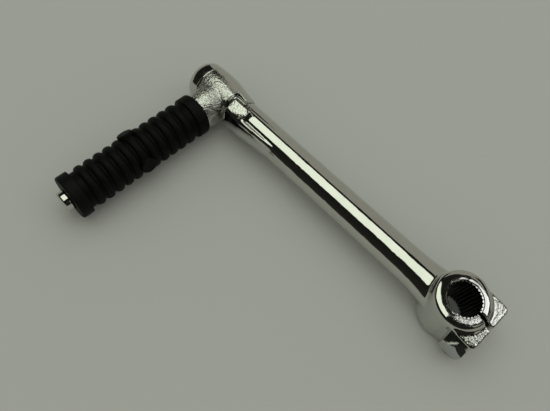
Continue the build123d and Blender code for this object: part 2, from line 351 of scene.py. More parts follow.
# The serrations and the slit are broached and sawn after the forging, so they cut the softened boss
SERRATIONS = {
    "Teeth": 30,
    "Crest radius": 7.6 * MM,
    "Root radius": 8.3 * MM,
    "Groove width": 0.95 * MM,
    "Mouth chamfer": 0.3 * MM,
    "Boss width": BOSS_WIDTH,
    "Bore length": 40.0 * MM,
    "Slit width": 1.7 * MM,
    "Slit reach": 20.0 * MM,
    "Lean": -bore_lean,
}
tree, size = geometry_tree("Broached bore", SERRATIONS)
ring = add(tree, "GeometryNodeMeshCircle", {"Vertices": size["Teeth"], "Radius": size["Crest radius"]})
depth = add(
    tree, "ShaderNodeMath", {0: size["Root radius"], 1: size["Crest radius"]}, operation="SUBTRACT"
).outputs[0]
squeeze = add(tree, "ShaderNodeMath", {0: size["Groove width"], 1: depth}, operation="DIVIDE").outputs[0]
squeeze = add(tree, "ShaderNodeMath", {0: squeeze, 1: 0.5}, operation="MULTIPLY").outputs[0]
groove = add(
    tree, "GeometryNodeMeshCylinder", {"Vertices": 4, "Radius": depth, "Depth": size["Bore length"]}
).outputs["Mesh"]
outwards = add(tree, "GeometryNodeInputPosition").outputs[0]
spokes = add(tree, "FunctionNodeAlignRotationToVector", {"Vector": outwards}, axis="X").outputs["Rotation"]
grooves = add(
    tree,
    "GeometryNodeInstanceOnPoints",
    {
        "Points": ring.outputs["Mesh"],
        "Instance": groove,
        "Rotation": spokes,
        "Scale": add(tree, "ShaderNodeCombineXYZ", {"X": 1.0, "Y": squeeze, "Z": 1.0}).outputs[0],
    },
).outputs["Instances"]
grooves = add(tree, "GeometryNodeRealizeInstances", {"Geometry": grooves}).outputs[0]
hole = add(
    tree,
    "GeometryNodeMeshCylinder",
    {"Vertices": 120, "Radius": size["Crest radius"], "Depth": size["Bore length"]},
).outputs["Mesh"]
slit = add(
    tree,
    "ShaderNodeCombineXYZ",
    {"X": size["Slit reach"], "Y": size["Slit width"], "Z": size["Bore length"]},
).outputs[0]
slit = add(tree, "GeometryNodeMeshCube", {"Size": slit}).outputs["Mesh"]
middle = add(tree, "ShaderNodeMath", {0: size["Slit reach"], 1: -0.5}, operation="MULTIPLY").outputs[0]
middle = add(tree, "ShaderNodeCombineXYZ", {"X": middle}).outputs[0]
slit = add(tree, "GeometryNodeTransform", {"Geometry": slit, "Translation": middle}).outputs["Geometry"]
tool = add(tree, "GeometryNodeMeshBoolean", operation="UNION", solver="MANIFOLD")
for cutter in (grooves, hole, slit):
    tree.links.new(cutter, tool.inputs["Mesh 2"])
lean = add(tree, "ShaderNodeCombineXYZ", {"Y": size["Lean"]}).outputs[0]
tool = add(
    tree, "GeometryNodeTransform", {"Geometry": tool.outputs["Mesh"], "Rotation": lean}
).outputs["Geometry"]
# The grooves, bore and slit take the steel whose dark colour is painted shade
tool = add(tree, "GeometryNodeSetMaterial", {"Geometry": tool, "Material": shade_darkened_steel}).outputs["Geometry"]
wide = add(
    tree,
    "ShaderNodeMath",
    {0: size["Mouth chamfer"], 1: 2.0, 2: size["Root radius"]},
    operation="MULTIPLY_ADD",
).outputs[0]
mouth_depth = add(
    tree, "ShaderNodeMath", {0: size["Mouth chamfer"], 1: 2.0}, operation="MULTIPLY"
).outputs[0]
mouth = add(
    tree,
    "GeometryNodeMeshCone",
    {"Vertices": 96, "Radius Top": wide, "Radius Bottom": size["Root radius"], "Depth": mouth_depth},
).outputs["Mesh"]
rim = add(tree, "ShaderNodeMath", {0: size["Boss width"], 1: 0.5}, operation="MULTIPLY").outputs[0]
rim = add(tree, "ShaderNodeMath", {0: rim, 1: size["Mouth chamfer"]}, operation="SUBTRACT").outputs[0]
rim = add(tree, "ShaderNodeCombineXYZ", {"Z": rim}).outputs[0]
mouth = add(tree, "GeometryNodeTransform", {"Geometry": mouth, "Translation": rim}).outputs["Geometry"]
mouth = add(tree, "GeometryNodeTransform", {"Geometry": mouth, "Rotation": lean}).outputs["Geometry"]
plated = add(tree, "GeometryNodeSetMaterial", {"Geometry": size["Geometry"], "Material": chrome})
mouth = add(tree, "GeometryNodeSetMaterial", {"Geometry": mouth, "Material": chrome}).outputs["Geometry"]
cut = plated.outputs["Geometry"]
for cutter in (mouth, tool):
    cut = add(
        tree,
        "GeometryNodeMeshBoolean",
        {"Mesh 1": cut, "Mesh 2": cutter},
        operation="DIFFERENCE",
        solver="MANIFOLD",
    ).outputs["Mesh"]
add(tree, "NodeGroupOutput", {"Geometry": cut})
grow(arm, tree, SERRATIONS)

# The lugs' upper faces keep the forging's skin, and so does the ring beside the bolt. Each pair of lengths
# is where the skin begins to change and where it has changed, in the bore's own axes.
BOSS_SKIN = 0.45
RING_SKIN_SIDE = (-2.0 * MM, 2.0 * MM)
RING_SKIN_EDGE = (10.8 * MM, 12.0 * MM)
LUG_SKIN_EDGE = (13.6 * MM, 14.6 * MM)
BOSS_SKIN_HEIGHT = (6.5 * MM, 9.0 * MM)
BOSS_SKIN_START = (0.0, 5.0 * MM)


def boss_skin(place):
    """How much of the forging's skin is left at a point of the boss."""
    local = to_bore @ place
    across = math.hypot(local.x, local.y)
    ring = ramp(local.y, *RING_SKIN_SIDE) * (1 - ramp(across, *RING_SKIN_EDGE))
    lug = ramp(across, *LUG_SKIN_EDGE)
    return BOSS_SKIN * max(ring, lug) * ramp(local.z, *BOSS_SKIN_HEIGHT) * ramp(-local.x, *BOSS_SKIN_START)


STOP_FACET = Vector((138.5, 3.2, 8.7)) * MM
STOP_FACET_REACH = (5.6 * MM, 8.0 * MM)
STOP_FACET_SKIN = 0.35


def arm_skin(place):
    """The boss's skin, and the stop's facet, which was left as it came off the press."""
    facet = 1 - ramp((place - STOP_FACET).length, *STOP_FACET_REACH)
    return max(boss_skin(place), STOP_FACET_SKIN * facet)


lay_skin(arm, arm_skin)
shade_soft(arm)
fix(arm, "kick_arm", "arm")

# Detent
# A ground bearing ball on a short coil spring, in a hole across the spindle. The spring pushes the ball
# into the knuckle, which then stays folded or open.
bearing_steel, tree, shader = surface("ground_bearing_steel")
place = add(tree, "ShaderNodeTexCoord").outputs["Object"]
lapping = add(
    tree, "ShaderNodeTexNoise", {"Vector": place, "Scale": 1 / (0.8 * MM), "Detail": 3.0}
).outputs["Fac"]
level = add(
    tree, "ShaderNodeMapRange", {"Value": lapping, "To Min": 0.10, "To Max": 0.24}
).outputs["Result"]
shader.inputs["Base Color"].default_value = linear("#bcbcb9")
shader.inputs["Metallic"].default_value = 1.0
tree.links.new(level, shader.inputs["Roughness"])

# Oil-tempered spring steel: dark brown-grey oxide from the quench, a little patchy
spring_steel, tree, shader = surface("oil_tempered_spring_steel")
place = add(tree, "ShaderNodeTexCoord").outputs["Object"]
oxide = add(
    tree, "ShaderNodeTexNoise", {"Vector": place, "Scale": 1 / (3.0 * MM), "Detail": 3.0}
).outputs["Fac"]
tint = add(tree, "ShaderNodeMix", {"Factor": oxide}, data_type="RGBA")
tint.inputs["A"].default_value = linear("#3d3a37")
tint.inputs["B"].default_value = linear("#57534e")
shader.inputs["Metallic"].default_value = 1.0
shader.inputs["Roughness"].default_value = 0.38
tree.links.new(tint.outputs["Result"], shader.inputs["Base Color"])

for node, finish in (("detent_spring", spring_steel), ("detent_ball", bearing_steel)):
    mesh = frame["nodes"][node].data
    mesh.materials.clear()
    mesh.materials.append(finish)

# Pedal knuckle
# One steel forging: the barrel that turns on the spindle, its stop tab, and the peg under the rubber. It is
# chrome plated like the arm, but its crown and stub keep the forging's skin under the plate.
KNUCKLE_VOXEL = 0.3 * MM
KNUCKLE_SMOOTHING = 5
CROWN_SKIN_SIDE = (-6.0 * MM, 3.0 * MM)
TAB_SKIN_EDGE = (-11.0 * MM, -7.5 * MM)
PEG_SKIN_EDGE = (16.0 * MM, 20.0 * MM)
hinge = next(j for j in frame["record"]["behaviour"]["joints"] if j["name"] == "pedal_fold")
pedal_axis = Vector(hinge["pos_m"])


def knuckle_skin(place):
    """The skin stays on the crown and stub. The far side, the tab and the peg were ground and buffed."""
    crown = ramp(place.y, *CROWN_SKIN_SIDE)
    tab = ramp(place.x - pedal_axis.x, *TAB_SKIN_EDGE)
    peg = 1 - ramp(place.y, *PEG_SKIN_EDGE)
    return crown * tab * peg


knuckle = merged_copy("chromed_pedal_knuckle", "pedal_knuckle")
forge(knuckle, KNUCKLE_VOXEL)
buff(knuckle, KNUCKLE_SMOOTHING)
lay_skin(knuckle, knuckle_skin)
knuckle.data.materials.clear()
knuckle.data.materials.append(blasted_chrome)
shade_soft(knuckle)
fix(knuckle, "pedal_knuckle", "pedal")

# Thrust washer and snap ring
# A turned washer, and a split ring stamped from spring strip that snaps into the spindle's groove. Together
# they keep the knuckle on the spindle.
BROKEN_EDGE = 0.12 * MM


def flat_ring(name, node, finish):
    """A flat piece with its sharp edges broken."""
    piece = merged_copy(name, node)
    bevel = piece.modifiers.new("broken_edges", "BEVEL")
    bevel.width = BROKEN_EDGE
    bevel.segments = 2
    bevel.limit_method = "ANGLE"
    bevel.angle_limit = CREASE_ANGLE
    bake(piece)
    piece.data.materials.clear()
    piece.data.materials.append(finish)
    shade_soft(piece)
    return piece


# Turned steel: bright, with fine rings from the lathe about 0.25 mm apart
turned_steel, tree, shader = surface("turned_bright_steel")
place = add(tree, "ShaderNodeTexCoord").outputs["Object"]
rings = add(
    tree,
    "ShaderNodeTexWave",
    {"Vector": place, "Scale": 0.05 / (0.25 * MM), "Distortion": 0.4},
    wave_type="RINGS",
    rings_direction="X",
).outputs["Fac"]
level = add(tree, "ShaderNodeMapRange", {"Value": rings, "To Min": 0.18, "To Max": 0.34}).outputs["Result"]
shader.inputs["Base Color"].default_value = linear("#b6b6b2")
shader.inputs["Metallic"].default_value = 1.0
tree.links.new(level, shader.inputs["Roughness"])

washer = flat_ring("turned_thrust_washer", "thrust_washer", turned_steel)
fix(washer, "thrust_washer", "arm")
snap_ring = flat_ring("stamped_snap_ring", "snap_ring", spring_steel)
fix(snap_ring, "snap_ring", "arm")

# Dome cap
# A cap drawn from thin steel sheet and chrome plated. It is pressed over the knuckle's spigot and hides the
# spindle's end, the washer and the ring. Its rim is rolled, and drawing left it wavy.
CAP_WALL = 1.2 * MM
CAP_RIM = 3.9 * MM
CAP_WAVE = 5.0 * MM
CAP_WAVE_DEPTH = 0.12 * MM
BEAD_START = 30
BEAD_SWEEP = 240
ARC_STEPS = 24
TURNED_SEGMENTS = 128


def quarter(centre, along_radius, radius):
    """A quarter of an ellipse from the axis outwards, as points of place along the axis and radius."""
    angles = [math.pi / 2 * step / ARC_STEPS for step in range(ARC_STEPS + 1)]
    return [(centre + along_radius * math.cos(a), radius * math.sin(a)) for a in angles]


def turned_mesh(name, outline):
    """A closed mesh turned about the X axis from an outline that starts and ends on it."""
    edit = bmesh.new()
    rings = []
    for along, radius in outline:
        angles = [2 * math.pi * step / TURNED_SEGMENTS for step in range(TURNED_SEGMENTS)]
        rings.append([edit.verts.new((along, radius * math.cos(a), radius * math.sin(a))) for a in angles])
    for ring, following in zip(rings, rings[1:]):
        for step in range(TURNED_SEGMENTS):
            after = (step + 1) % TURNED_SEGMENTS
            edit.faces.new((ring[step], ring[after], following[after], following[step]))
    bmesh.ops.remove_doubles(edit, verts=edit.verts[:], dist=MERGE_DISTANCE)
    bmesh.ops.recalc_face_normals(edit, faces=edit.faces[:])
    mesh = bpy.data.meshes.new(name)
    edit.to_mesh(mesh)
    edit.free()
    return mesh


cap_low, cap_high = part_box("dome_cap")
cap_radius = (cap_high.y - cap_low.y) / 2
cap_bore = cap_radius - CAP_WALL
dome_start = cap_low.x + CAP_RIM
dome_height = cap_high.x - dome_start
bead = [math.radians(BEAD_START + BEAD_SWEEP * step / ARC_STEPS) for step in range(ARC_STEPS + 1)]
bead_radius = CAP_WALL / 2
bead_along = cap_low.x + bead_radius
bead_middle = cap_radius - bead_radius / 2
rim = [(bead_along + bead_radius * math.cos(a), bead_middle + bead_radius * math.sin(a)) for a in bead]
outside = quarter(dome_start, dome_height, cap_radius)
inside = quarter(dome_start, dome_height - CAP_WALL, cap_bore)
cap = new_piece("chromed_dome_cap", turned_mesh("chromed_dome_cap", outside + rim + inside[::-1]))
for vertex in cap.data.vertices:
    vertex.co = vertex.co + CAP_WAVE_DEPTH * noise.noise(vertex.co / CAP_WAVE) * vertex.normal
cap.data.materials.append(chrome)
shade_soft(cap)
fix(cap, "dome_cap", "pedal")

# Pedal rubber
# One compression moulding in black nitrile rubber: two collars, eleven ribs and three plain buttons round
# its middle. It is pushed over the peg's head, and its lip holds it there.
rubber_low, rubber_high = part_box("pedal_rubber")
RUBBER = {
    "Length": rubber_high.y - rubber_low.y,
    "Groove radius": 9.5 * MM,
    "Rib radius": 10.8 * MM,
    "Ribs": 11,
    "Rib share": 0.78,
    "Near collar": 10.9 * MM,
    "Far collar": 11.4 * MM,
    "Collar length": 6.0 * MM,
    "Collar round": 1.2 * MM,
    "Step": 0.35 * MM,
    "Peg radius": 6.0 * MM,
    "Lip radius": 4.4 * MM,
    "Lip length": 4.6 * MM,
    "Buttons": 3,
    "Button seat": 8.5 * MM,
    "Button turn": math.radians(-169),
    "Rows": 360,
    "Columns": 112,
    "Pedal X": pedal_axis.x,
    "Pedal Y": rubber_low.y,
}
BUTTON_RADIUS = 4.0 * MM
BUTTON_HEIGHT = 3.3 * MM
BUTTON_ROUND = 0.6 * MM

# Nitrile rubber from a steel mould: near black and dull, a little greyer on the crests, partly dust that
# clings there and partly a painted sheen
nitrile, tree, shader = surface("moulded_nitrile_rubber")
place = add(tree, "ShaderNodeTexCoord").outputs["Object"]
centred = add(tree, "ShaderNodeMapping", {"Vector": place, "Location": (-pedal_axis.x, 0, 0)}).outputs[0]
across = add(tree, "ShaderNodeVectorMath", {0: centred, 1: (1, 0, 1)}, operation="MULTIPLY").outputs[0]
radius = add(tree, "ShaderNodeVectorMath", {0: across}, operation="LENGTH").outputs["Value"]
crest = add(
    tree, "ShaderNodeMapRange", {"Value": radius, "From Min": 9.9 * MM, "From Max": 11.2 * MM}
).outputs["Result"]
dust = add(
    tree, "ShaderNodeTexNoise", {"Vector": place, "Scale": 1 / (4.0 * MM), "Detail": 4.0}
).outputs["Fac"]
# Lighter crests: some dust, and a painted sheen where the crests would catch the light
crest_dust_and_sheen = add(tree, "ShaderNodeMath", {0: crest, 1: dust}, operation="MULTIPLY").outputs[0]
tint = add(tree, "ShaderNodeMix", {"Factor": crest_dust_and_sheen}, data_type="RGBA")
tint.inputs["A"].default_value = linear("#030303")
tint.inputs["B"].default_value = linear("#0a0a09")
level = add(tree, "ShaderNodeMapRange", {"Value": dust, "To Min": 0.46, "To Max": 0.66}).outputs["Result"]
grain = add(
    tree, "ShaderNodeTexNoise", {"Vector": place, "Scale": 1 / (0.45 * MM), "Detail": 2.0}
).outputs["Fac"]
moulded = add(tree, "ShaderNodeBump", {"Strength": 0.6, "Distance": 0.04 * MM, "Height": grain})
shader.inputs["Specular IOR Level"].default_value = 0.12
tree.links.new(tint.outputs["Result"], shader.inputs["Base Color"])
tree.links.new(level, shader.inputs["Roughness"])
tree.links.new(moulded.outputs["Normal"], shader.inputs["Normal"])

button_outline = [(0, 0), (0, BUTTON_RADIUS)]
for along, radius in reversed(quarter(BUTTON_HEIGHT - BUTTON_ROUND, BUTTON_ROUND, BUTTON_ROUND)):
    button_outline.append((along, BUTTON_RADIUS - BUTTON_ROUND + radius))
button_outline.append((BUTTON_HEIGHT, 0))
button = new_piece("rubber_button", turned_mesh("rubber_button", button_outline))

tree, size = geometry_tree("Ribbed sleeve", RUBBER)
grid = add(
    tree,
    "GeometryNodeMeshGrid",
    {"Size X": 1.0, "Size Y": 1.0, "Vertices X": size["Rows"], "Vertices Y": size["Columns"]},
).outputs["Mesh"]
spot = add(tree, "ShaderNodeSeparateXYZ", {0: add(tree, "GeometryNodeInputPosition").outputs[0]})
share = add(tree, "ShaderNodeMath", {0: spot.outputs["X"], 1: 0.5}, operation="ADD").outputs[0]
along = add(tree, "ShaderNodeMath", {0: share, 1: size["Length"]}, operation="MULTIPLY").outputs[0]
angle = add(tree, "ShaderNodeMath", {0: spot.outputs["Y"], 1: 2 * math.pi}, operation="MULTIPLY").outputs[0]
beyond = add(tree, "ShaderNodeMath", {0: size["Length"], 1: along}, operation="SUBTRACT").outputs[0]
to_end = add(tree, "ShaderNodeMath", {0: along, 1: beyond}, operation="MINIMUM").outputs[0]

# Collars: each has its own radius, and a rounded outer corner
far_half = add(tree, "ShaderNodeMath", {0: share, 1: 0.5}, operation="GREATER_THAN").outputs[0]
collar = add(
    tree,
    "ShaderNodeMix",
    {"Factor": far_half, "A": size["Near collar"], "B": size["Far collar"]},
    data_type="FLOAT",
).outputs["Result"]
inset = add(tree, "ShaderNodeMath", {0: size["Collar round"], 1: to_end}, operation="SUBTRACT").outputs[0]
inset = add(tree, "ShaderNodeMath", {0: inset, 1: 0.0}, operation="MAXIMUM").outputs[0]
inset = add(tree, "ShaderNodeMath", {0: inset, 1: inset}, operation="MULTIPLY").outputs[0]
square = add(
    tree, "ShaderNodeMath", {0: size["Collar round"], 1: size["Collar round"]}, operation="MULTIPLY"
).outputs[0]
reach = add(tree, "ShaderNodeMath", {0: square, 1: inset}, operation="SUBTRACT").outputs[0]
reach = add(tree, "ShaderNodeMath", {0: reach}, operation="SQRT").outputs[0]
collar = add(tree, "ShaderNodeMath", {0: collar, 1: size["Collar round"]}, operation="SUBTRACT").outputs[0]
collar = add(tree, "ShaderNodeMath", {0: collar, 1: reach}, operation="ADD").outputs[0]

# Ribs: a rounded crest at each whole number of pitches from the near collar
bare = add(
    tree, "ShaderNodeMath", {0: size["Collar length"], 1: -2.0, 2: size["Length"]}, operation="MULTIPLY_ADD"
).outputs[0]
pitches = add(tree, "ShaderNodeMath", {0: size["Ribs"], 1: 1.0}, operation="ADD").outputs[0]
pitch = add(tree, "ShaderNodeMath", {0: bare, 1: pitches}, operation="DIVIDE").outputs[0]
count = add(tree, "ShaderNodeMath", {0: along, 1: size["Collar length"]}, operation="SUBTRACT").outputs[0]
count = add(tree, "ShaderNodeMath", {0: count, 1: pitch}, operation="DIVIDE").outputs[0]
nearest = add(tree, "ShaderNodeMath", {0: count}, operation="ROUND").outputs[0]
nearest = add(tree, "ShaderNodeClamp", {"Value": nearest, "Min": 1.0, "Max": size["Ribs"]}).outputs[0]
away = add(tree, "ShaderNodeMath", {0: count, 1: nearest}, operation="SUBTRACT").outputs[0]
away = add(tree, "ShaderNodeMath", {0: away, 1: size["Rib share"]}, operation="DIVIDE").outputs[0]
away = add(tree, "ShaderNodeMath", {0: away, 1: 2.0}, operation="MULTIPLY").outputs[0]
away = add(tree, "ShaderNodeMath", {0: away, 1: away}, operation="MULTIPLY").outputs[0]
swell = add(tree, "ShaderNodeMath", {0: 1.0, 1: away}, operation="SUBTRACT").outputs[0]
swell = add(tree, "ShaderNodeMath", {0: swell, 1: 0.0}, operation="MAXIMUM").outputs[0]
swell = add(tree, "ShaderNodeMath", {0: swell}, operation="SQRT").outputs[0]
ribbed = add(
    tree,
    "ShaderNodeMix",
    {"Factor": swell, "A": size["Groove radius"], "B": size["Rib radius"]},
    data_type="FLOAT",
).outputs["Result"]
step = add(tree, "ShaderNodeMath", {0: to_end, 1: size["Collar length"]}, operation="SUBTRACT").outputs[0]
step = add(tree, "ShaderNodeMapRange", {"Value": step, "From Max": size["Step"]}).outputs["Result"]
outer = add(
    tree, "ShaderNodeMix", {"Factor": step, "A": collar, "B": ribbed}, data_type="FLOAT"
).outputs["Result"]

# Bore: the peg's radius, and the lip behind the peg's head. The skin's end rows close down to it.
lip = add(tree, "ShaderNodeMath", {0: beyond, 1: size["Lip length"]}, operation="LESS_THAN").outputs[0]
inner = add(
    tree,
    "ShaderNodeMix",
    {"Factor": lip, "A": size["Peg radius"], "B": size["Lip radius"]},
    data_type="FLOAT",
).outputs["Result"]
at_end = add(tree, "ShaderNodeMath", {0: to_end, 1: MERGE_DISTANCE}, operation="LESS_THAN").outputs[0]
outer = add(
    tree, "ShaderNodeMix", {"Factor": at_end, "A": outer, "B": inner}, data_type="FLOAT"
).outputs["Result"]
sine = add(tree, "ShaderNodeMath", {0: angle}, operation="SINE").outputs[0]
cosine = add(tree, "ShaderNodeMath", {0: angle}, operation="COSINE").outputs[0]
walls = []
for radius in (outer, inner):
    wrapped = add(
        tree,
        "ShaderNodeCombineXYZ",
        {
            "X": add(tree, "ShaderNodeMath", {0: radius, 1: sine}, operation="MULTIPLY").outputs[0],
            "Y": along,
            "Z": add(tree, "ShaderNodeMath", {0: radius, 1: cosine}, operation="MULTIPLY").outputs[0],
        },
    ).outputs[0]
    walls.append(
        add(tree, "GeometryNodeSetPosition", {"Geometry": grid, "Position": wrapped}).outputs["Geometry"]
    )
walls[0] = add(tree, "GeometryNodeFlipFaces", {"Mesh": walls[0]}).outputs["Mesh"]
sleeve = add(tree, "GeometryNodeJoinGeometry")
for wall in walls:
    tree.links.new(wall, sleeve.inputs["Geometry"])
sleeve = add(
    tree,
    "GeometryNodeMergeByDistance",
    {"Geometry": sleeve.outputs["Geometry"], "Distance": MERGE_DISTANCE},
).outputs["Geometry"]

# Buttons: set round the middle of the sleeve, with their feet sunk into it
seats = add(
    tree, "GeometryNodeMeshCircle", {"Vertices": size["Buttons"], "Radius": size["Button seat"]}
).outputs["Mesh"]
seat_turn = add(tree, "ShaderNodeCombineXYZ", {"X": math.radians(90), "Y": size["Button turn"]}).outputs[0]
seats = add(tree, "GeometryNodeTransform", {"Geometry": seats, "Rotation": seat_turn}).outputs["Geometry"]
outwards = add(tree, "GeometryNodeInputPosition").outputs[0]
spokes = add(tree, "FunctionNodeAlignRotationToVector", {"Vector": outwards}, axis="X").outputs["Rotation"]
shape = add(tree, "GeometryNodeObjectInfo", {"Object": button}).outputs["Geometry"]
buttons = add(
    tree, "GeometryNodeInstanceOnPoints", {"Points": seats, "Instance": shape, "Rotation": spokes}
).outputs["Instances"]
buttons = add(tree, "GeometryNodeRealizeInstances", {"Geometry": buttons}).outputs[0]
half_way = add(tree, "ShaderNodeMath", {0: size["Length"], 1: 0.5}, operation="MULTIPLY").outputs[0]
half_way = add(tree, "ShaderNodeCombineXYZ", {"Y": half_way}).outputs[0]
buttons = add(
    tree, "GeometryNodeTransform", {"Geometry": buttons, "Translation": half_way}
).outputs["Geometry"]
moulding = add(tree, "GeometryNodeMeshBoolean", operation="UNION", solver="MANIFOLD")
for part in (sleeve, buttons):
    tree.links.new(part, moulding.inputs["Mesh 2"])
seated = add(tree, "ShaderNodeCombineXYZ", {"X": size["Pedal X"], "Y": size["Pedal Y"]}).outputs[0]
moulding = add(
    tree, "GeometryNodeTransform", {"Geometry": moulding.outputs["Mesh"], "Translation": seated}
).outputs["Geometry"]
moulding = add(
    tree, "GeometryNodeSetMaterial", {"Geometry": moulding, "Material": nitrile}
).outputs["Geometry"]
add(tree, "NodeGroupOutput", {"Geometry": moulding})
rubber = new_piece("moulded_pedal_rubber", bpy.data.meshes.new("moulded_pedal_rubber"))
grow(rubber, tree, RUBBER)
bpy.data.objects.remove(button)
shade_soft(rubber)
fix(rubber, "pedal_rubber", "pedal")

# Pinch bolt
# An M6 hexagon bolt, cold headed and thread rolled, plated bright. It passes one lug, screws into the other
# and closes the slit on the shaft.
bolt_low, bolt_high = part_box("pinch_bolt")
BOLT_HEAD = 4.0 * MM
BOLT = {
    "Across flats": 10.0 * MM,
    "Head height": BOLT_HEAD,
    "Crown angle": math.radians(30),
    "Thread radius": 3.0 * MM,
    "Thread pitch": 1.0 * MM,
    "Thread depth": 0.55 * MM,
    "Tip chamfer": 0.7 * MM,
    "Shank length": bolt_high.y - bolt_low.y - BOLT_HEAD / 2,
    "Rows": 300,
    "Columns": 41,
    "Lean": -bore_lean,
    "Axis X": (bolt_low.x + bolt_high.x) / 2,
    "Head Y": bolt_high.y - BOLT_HEAD / 2,
    "Axis Z": (bolt_low.z + bolt_high.z) / 2,
}

# Zinc plate on the bolt: bright and a little blue, softer than the chrome, with marks from the header
zinc, tree, shader = surface("bright_zinc_plate")
place = add(tree, "ShaderNodeTexCoord").outputs["Object"]
mark = add(
    tree, "ShaderNodeTexNoise", {"Vector": place, "Scale": 1 / (1.2 * MM), "Detail": 3.0}
).outputs["Fac"]
level = add(tree, "ShaderNodeMapRange", {"Value": mark, "To Min": 0.07, "To Max": 0.20}).outputs["Result"]
tint = add(tree, "ShaderNodeMix", {"Factor": mark}, data_type="RGBA")
tint.inputs["A"].default_value = linear("#c6c8c6")
tint.inputs["B"].default_value = linear("#b4b6b6")
shader.inputs["Metallic"].default_value = 1.0
tree.links.new(level, shader.inputs["Roughness"])
tree.links.new(tint.outputs["Result"], shader.inputs["Base Color"])

# Head: a hexagon with its corners cut back by a cone, centred on the tree's origin with its top up
tree, size = geometry_tree("Hexagon bolt", BOLT)
half_flats = add(tree, "ShaderNodeMath", {0: size["Across flats"], 1: 0.5}, operation="MULTIPLY").outputs[0]
corner = add(
    tree, "ShaderNodeMath", {0: half_flats, 1: math.cos(math.radians(30))}, operation="DIVIDE"
).outputs[0]
hexagon = add(
    tree, "GeometryNodeMeshCylinder", {"Vertices": 6, "Radius": corner, "Depth": size["Head height"]}
).outputs["Mesh"]
turn = add(tree, "ShaderNodeCombineXYZ", {"Z": math.radians(90)}).outputs[0]
hexagon = add(tree, "GeometryNodeTransform", {"Geometry": hexagon, "Rotation": turn}).outputs["Geometry"]
slope = add(tree, "ShaderNodeMath", {0: size["Crown angle"]}, operation="TANGENT").outputs[0]
spread = add(tree, "ShaderNodeMath", {0: size["Head height"], 1: slope}, operation="DIVIDE").outputs[0]
tip_radius = add(
    tree, "ShaderNodeMath", {0: spread, 1: -0.5, 2: half_flats}, operation="MULTIPLY_ADD"
).outputs[0]
foot_radius = add(
    tree, "ShaderNodeMath", {0: spread, 1: 1.5, 2: half_flats}, operation="MULTIPLY_ADD"
).outputs[0]
cone_height = add(tree, "ShaderNodeMath", {0: size["Head height"], 1: 2.0}, operation="MULTIPLY").outputs[0]
crown = add(
    tree,
    "GeometryNodeMeshCone",
    {"Vertices": 96, "Radius Top": tip_radius, "Radius Bottom": foot_radius, "Depth": cone_height},
).outputs["Mesh"]
down = add(tree, "ShaderNodeMath", {0: size["Head height"], 1: -1.0}, operation="MULTIPLY").outputs[0]
down = add(tree, "ShaderNodeCombineXYZ", {"Z": down}).outputs[0]
crown = add(tree, "GeometryNodeTransform", {"Geometry": crown, "Translation": down}).outputs["Geometry"]
head = add(tree, "GeometryNodeMeshBoolean", operation="INTERSECT", solver="MANIFOLD")
for part in (hexagon, crown):
    tree.links.new(part, head.inputs["Mesh 2"])

# Shank: a wrapped sheet whose radius follows the thread's helix, closed at both ends
grid = add(
    tree,
    "GeometryNodeMeshGrid",
    {"Size X": 1.0, "Size Y": 1.0, "Vertices X": size["Rows"], "Vertices Y": size["Columns"]},
).outputs["Mesh"]
spot = add(tree, "ShaderNodeSeparateXYZ", {0: add(tree, "GeometryNodeInputPosition").outputs[0]})
share = add(tree, "ShaderNodeMath", {0: spot.outputs["X"], 1: 0.5}, operation="ADD").outputs[0]
along = add(tree, "ShaderNodeMath", {0: share, 1: size["Shank length"]}, operation="MULTIPLY").outputs[0]
angle = add(tree, "ShaderNodeMath", {0: spot.outputs["Y"], 1: 2 * math.pi}, operation="MULTIPLY").outputs[0]
turns = add(tree, "ShaderNodeMath", {0: along, 1: size["Thread pitch"]}, operation="DIVIDE").outputs[0]
turns = add(tree, "ShaderNodeMath", {0: turns, 1: spot.outputs["Y"]}, operation="ADD").outputs[0]
flank = add(tree, "ShaderNodeMath", {0: turns, 1: 0.5}, operation="PINGPONG").outputs[0]
flank = add(tree, "ShaderNodeMath", {0: flank, 1: 2.0}, operation="MULTIPLY").outputs[0]
cut = add(tree, "ShaderNodeMath", {0: flank, 1: size["Thread depth"]}, operation="MULTIPLY").outputs[0]
thread = add(tree, "ShaderNodeMath", {0: size["Thread radius"], 1: cut}, operation="SUBTRACT").outputs[0]
beyond = add(tree, "ShaderNodeMath", {0: size["Shank length"], 1: along}, operation="SUBTRACT").outputs[0]
taper = add(
    tree, "ShaderNodeMath", {0: size["Thread radius"], 1: size["Tip chamfer"]}, operation="SUBTRACT"
).outputs[0]
taper = add(tree, "ShaderNodeMath", {0: taper, 1: beyond}, operation="ADD").outputs[0]
thread = add(tree, "ShaderNodeMath", {0: thread, 1: taper}, operation="MINIMUM").outputs[0]
to_end = add(tree, "ShaderNodeMath", {0: along, 1: beyond}, operation="MINIMUM").outputs[0]
body = add(tree, "ShaderNodeMath", {0: to_end, 1: MERGE_DISTANCE}, operation="GREATER_THAN").outputs[0]
thread = add(tree, "ShaderNodeMath", {0: thread, 1: body}, operation="MULTIPLY").outputs[0]
sine = add(tree, "ShaderNodeMath", {0: angle}, operation="SINE").outputs[0]
cosine = add(tree, "ShaderNodeMath", {0: angle}, operation="COSINE").outputs[0]
wrapped = add(
    tree,
    "ShaderNodeCombineXYZ",
    {
        "X": add(tree, "ShaderNodeMath", {0: thread, 1: cosine}, operation="MULTIPLY").outputs[0],
        "Y": add(tree, "ShaderNodeMath", {0: thread, 1: sine}, operation="MULTIPLY").outputs[0],
        "Z": add(tree, "ShaderNodeMath", {0: along, 1: -1.0}, operation="MULTIPLY").outputs[0],
    },
).outputs[0]
shank = add(tree, "GeometryNodeSetPosition", {"Geometry": grid, "Position": wrapped}).outputs["Geometry"]
shank = add(
    tree, "GeometryNodeMergeByDistance", {"Geometry": shank, "Distance": MERGE_DISTANCE}
).outputs["Geometry"]
shank = add(tree, "GeometryNodeFlipFaces", {"Mesh": shank}).outputs["Mesh"]
whole = add(tree, "GeometryNodeMeshBoolean", operation="UNION", solver="MANIFOLD")
for part in (head.outputs["Mesh"], shank):
    tree.links.new(part, whole.inputs["Mesh 2"])
